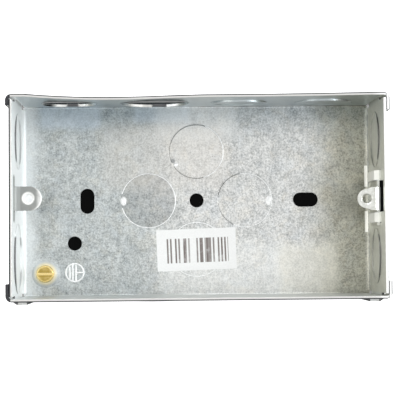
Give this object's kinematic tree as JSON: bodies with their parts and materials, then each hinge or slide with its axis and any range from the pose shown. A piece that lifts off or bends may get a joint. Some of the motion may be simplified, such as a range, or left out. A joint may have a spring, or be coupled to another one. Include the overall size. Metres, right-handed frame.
{
  "type": "flush back box",
  "caption": "Folded sheet steel back box for flush wiring accessories, with knockouts, a fixed and an adjustable screw lug, and an earth terminal.",
  "frame": {"origin": "centre of the back's outer face, which lies on the ground or against the wall", "axes": "+Z out of the mouth, +X along the box from the fixed lug to the adjustable lug, +Y across the box towards the dented side wall"},
  "size_m": [0.1354, 0.0767, 0.035],
  "materials": {
    "galvanised_steel": "galvanised sheet, faint spangle, satin",
    "lug_steel": "zinc plated, satin",
    "brass": "turned, slightly dull",
    "paper": "matt white paper"
  },
  "bodies": {
    "box": {"box_shell": "galvanised_steel", "paper_label": "paper"},
    "sliding_lug": {"adjustable_lug": "lug_steel"},
    "terminal_screw": {"earth_screw": "brass"}
  },
  "joints": [
    {"name": "lug_slide", "type": "slide", "parent": "box", "child": "sliding_lug", "axis": [0, 1, 0], "range_m": [-0.00055, 0.00245]},
    {"name": "terminal_screw_turn", "type": "hinge", "parent": "box", "child": "terminal_screw", "pos_m": [-0.0569, -0.0272, 0.0025], "axis": [0, 0, 1], "range_deg": [0, 1080]}
  ]
}
